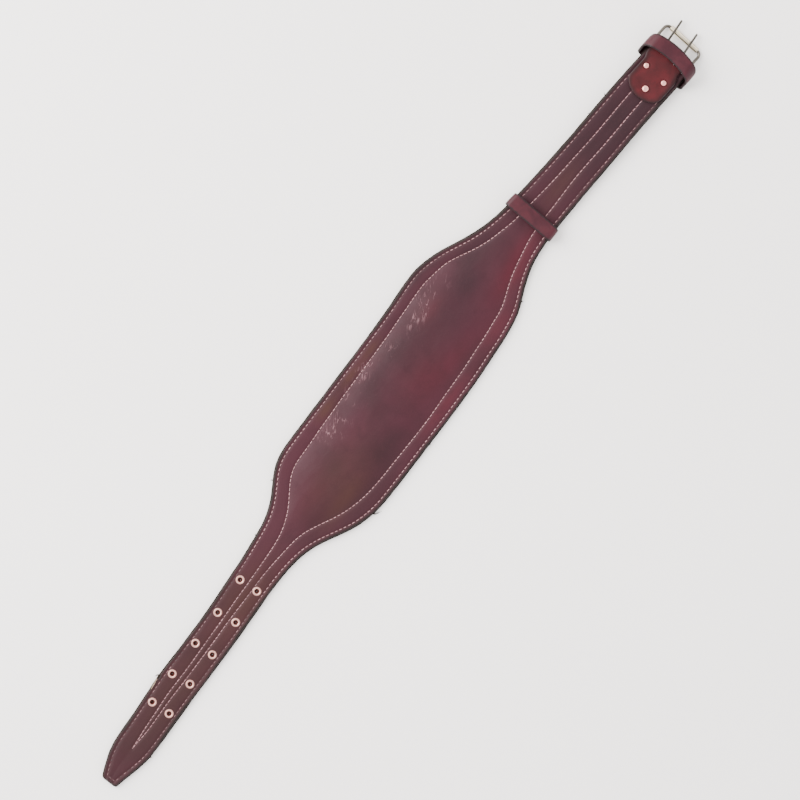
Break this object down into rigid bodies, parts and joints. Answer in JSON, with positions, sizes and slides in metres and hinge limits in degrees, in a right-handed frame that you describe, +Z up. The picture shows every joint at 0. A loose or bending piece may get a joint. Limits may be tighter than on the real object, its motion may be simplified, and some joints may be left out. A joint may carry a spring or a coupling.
{
  "type": "weightlifting belt",
  "caption": "Padded leather weightlifting belt lying flat and open, with a wide back, an eyeleted tongue, two keepers and a double-prong roller buckle.",
  "frame": {"origin": "on the surface that the belt lies on, under the middle of its bounding box", "axes": "+X along the belt towards the buckle, +Y across it, +Z up out of the leather face"},
  "size_m": [0.8784, 0.1082, 0.022],
  "materials": {
    "face_leather": "burgundy, semi-gloss, fine grain with creases",
    "suede_lining": "black suede, matt",
    "tab_leather": "red-brown, semi-gloss, smooth",
    "keeper_leather": "burgundy, semi-gloss, smooth",
    "eyelet_metal": "nickel plate, bright",
    "buckle_metal": "nickel plate, polished, slightly warm",
    "thread": "pale waxed thread"
  },
  "bodies": {
    "strap": {"face_leather": "face_leather", "lining": "suede_lining", "tab": "tab_leather", "keeper_loop": "keeper_leather", "keeper_band": "keeper_leather", "eyelet_1": "eyelet_metal", "eyelet_2": "eyelet_metal", "eyelet_3": "eyelet_metal", "eyelet_4": "eyelet_metal", "eyelet_5": "eyelet_metal", "eyelet_6": "eyelet_metal", "eyelet_7": "eyelet_metal", "eyelet_8": "eyelet_metal", "eyelet_9": "eyelet_metal", "eyelet_10": "eyelet_metal", "rivet_1": "eyelet_metal", "rivet_2": "eyelet_metal", "rivet_3": "eyelet_metal"},
    "frame": {"buckle_frame": "buckle_metal"},
    "roller": {"roller": "buckle_metal"},
    "prong_left": {"prong_left": "buckle_metal"},
    "prong_right": {"prong_right": "buckle_metal"}
  },
  "joints": [
    {"name": "frame_swing", "type": "hinge", "parent": "strap", "child": "frame", "pos_m": [0.40405, -0.01208, 0.00765], "axis": [-0.0741, -0.9973, 0], "range_deg": [-45, 16]},
    {"name": "roller_spin", "type": "hinge", "parent": "frame", "child": "roller", "pos_m": [0.42604, -0.01171, 0.0025], "axis": [-0.0741, -0.9973, 0], "continuous": true},
    {"name": "prong_left_lift", "type": "hinge", "parent": "frame", "child": "prong_left", "pos_m": [0.40485, -0.00131, 0.00765], "axis": [-0.0741, -0.9973, 0], "range_deg": [0, 24]},
    {"name": "prong_right_lift", "type": "hinge", "parent": "frame", "child": "prong_right", "pos_m": [0.40346, -0.02006, 0.00765], "axis": [-0.0741, -0.9973, 0], "range_deg": [0, 24]}
  ]
}
